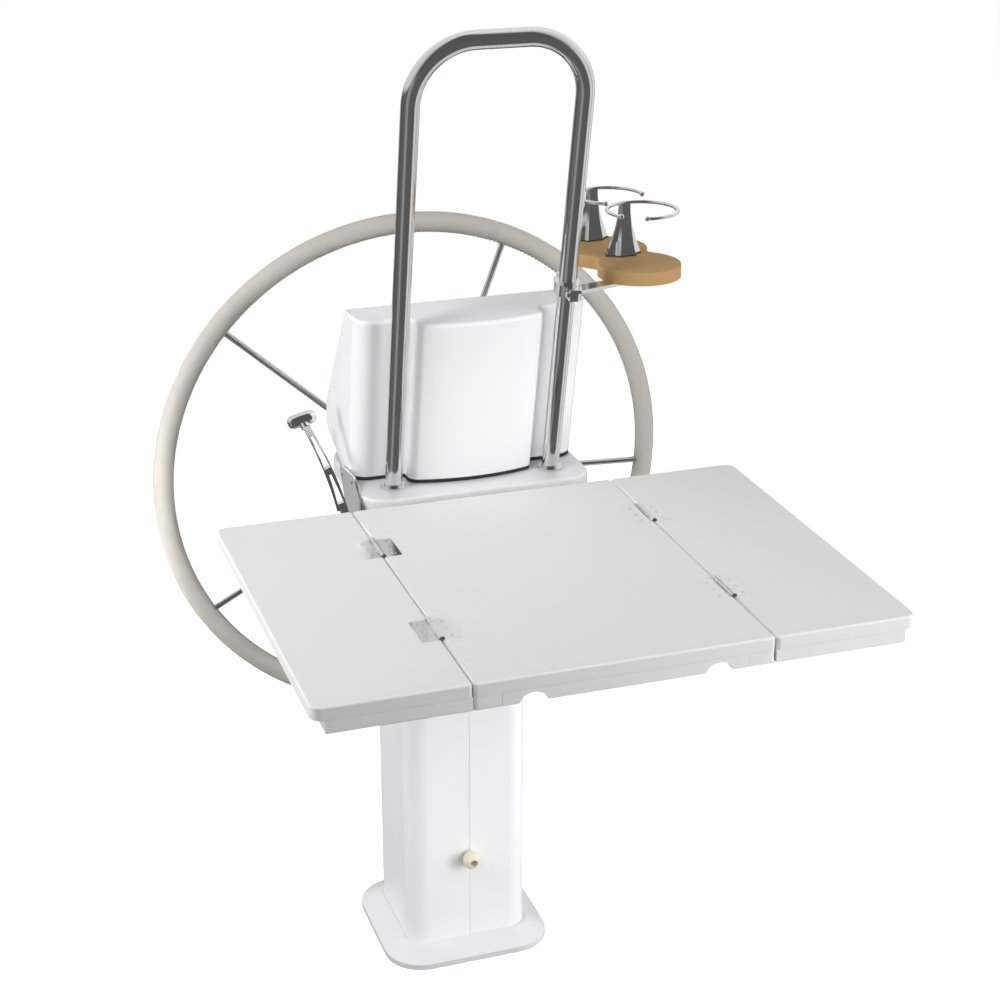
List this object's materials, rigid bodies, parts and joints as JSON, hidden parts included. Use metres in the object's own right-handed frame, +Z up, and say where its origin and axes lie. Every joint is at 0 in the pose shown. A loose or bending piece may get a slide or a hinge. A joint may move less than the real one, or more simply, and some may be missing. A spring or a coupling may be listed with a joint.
{
  "type": "sailboat helm pedestal with folding cockpit table",
  "caption": "White helm pedestal with spoked wheel, bent guard loop, instrument pod, throttle lever, clamp-on teak drink holder and a folding cockpit table with two drop-over leaves",
  "frame": {"origin": "centre of the deck bolt pattern on the base's underside", "axes": "+Z up, -Y towards the table, +Y towards the wheel, +X to starboard of someone who stands at the table facing the wheel"},
  "size_m": [0.8421, 0.9427, 1.5078],
  "materials": {
    "white_gelcoat": "glossy moulded white",
    "painted_casting": "gloss white paint on a casting",
    "table_board": "satin white board",
    "polished_steel": "polished stainless",
    "machined_steel": "machined steel",
    "suede_cover": "stitched grey suede",
    "teak": "oiled teak",
    "cream_nylon": "cream bumper",
    "black_rubber": "black seal"
  },
  "bodies": {
    "pedestal": {"column_left_half": "white_gelcoat", "column_right_half": "white_gelcoat", "pod_housing": "white_gelcoat", "pod_face": "white_gelcoat", "base_flange": "painted_casting", "head_housing": "painted_casting", "head_plate": "painted_casting", "guard_rail": "polished_steel", "guard_foot_left": "polished_steel", "guard_foot_right": "polished_steel", "control_plate": "polished_steel", "throttle_pivot": "polished_steel", "guard_clamp_body": "polished_steel", "guard_clamp_cap": "polished_steel", "guard_clamp_bolts": "polished_steel", "cup_post_front": "polished_steel", "cup_post_rear": "polished_steel", "cup_ring_front": "polished_steel", "cup_ring_rear": "polished_steel", "shaft_housing": "machined_steel", "shaft_bearing_front": "machined_steel", "shaft_bearing_rear": "machined_steel", "table_hinge_bracket": "machined_steel", "table_hinge_pin_left": "machined_steel", "table_hinge_pin_right": "machined_steel", "strut_socket": "machined_steel", "drink_board": "teak", "column_bumper": "cream_nylon", "pod_gasket": "black_rubber"},
    "wheel": {"wheel_shaft": "machined_steel", "chain_sprocket": "machined_steel", "sprocket_nut": "machined_steel", "wheel_hub": "polished_steel", "hub_nut": "polished_steel", "wheel_spokes": "polished_steel", "wheel_rim": "polished_steel", "rim_cover": "suede_cover"},
    "throttle": {"throttle_arm": "polished_steel", "throttle_knob": "polished_steel"},
    "table": {"centre_slab": "table_board", "centre_left_rail": "table_board", "centre_right_rail": "table_board", "centre_front_rail": "table_board", "centre_back_rail": "table_board", "table_arm_left": "machined_steel", "table_arm_right": "machined_steel", "strut_bracket": "machined_steel", "strut_pin": "machined_steel", "leaf_hinge_fixed_plates": "polished_steel", "leaf_hinge_pins": "polished_steel"},
    "strut": {"strut_tube": "machined_steel", "strut_foot": "black_rubber"},
    "left_leaf": {"left_leaf_slab": "table_board", "left_leaf_rails": "table_board", "left_leaf_hinge_plates": "polished_steel"},
    "right_leaf": {"right_leaf_slab": "table_board", "right_leaf_rails": "table_board", "right_leaf_hinge_plates": "polished_steel"}
  },
  "joints": [
    {"name": "wheel_spin", "type": "hinge", "parent": "pedestal", "child": "wheel", "pos_m": [0, 0.1, 0.7385], "axis": [0, 1, 0], "continuous": true},
    {"name": "throttle_swing", "type": "hinge", "parent": "pedestal", "child": "throttle", "pos_m": [-0.19, -0.125, 0.79], "axis": [1, 0, 0], "range_deg": [0, 50]},
    {"name": "table_fold", "type": "hinge", "parent": "pedestal", "child": "table", "pos_m": [0, -0.12, 0.77], "axis": [1, 0, 0], "range_deg": [0, 92]},
    {"name": "strut_fold", "type": "hinge", "parent": "table", "child": "strut", "pos_m": [0, -0.32, 0.79], "axis": [1, 0, 0], "range_deg": [-125.7, 0]},
    {"name": "left_leaf_fold", "type": "hinge", "parent": "table", "child": "left_leaf", "pos_m": [-0.1965, -0.45, 0.8303], "axis": [0, 1, 0], "range_deg": [0, 180]},
    {"name": "right_leaf_fold", "type": "hinge", "parent": "table", "child": "right_leaf", "pos_m": [0.1965, -0.45, 0.8303], "axis": [0, -1, 0], "range_deg": [0, 180]}
  ],
  "couplings": [
    {"joint": "strut_fold", "follows": "table_fold", "ratio": -1.365}
  ]
}
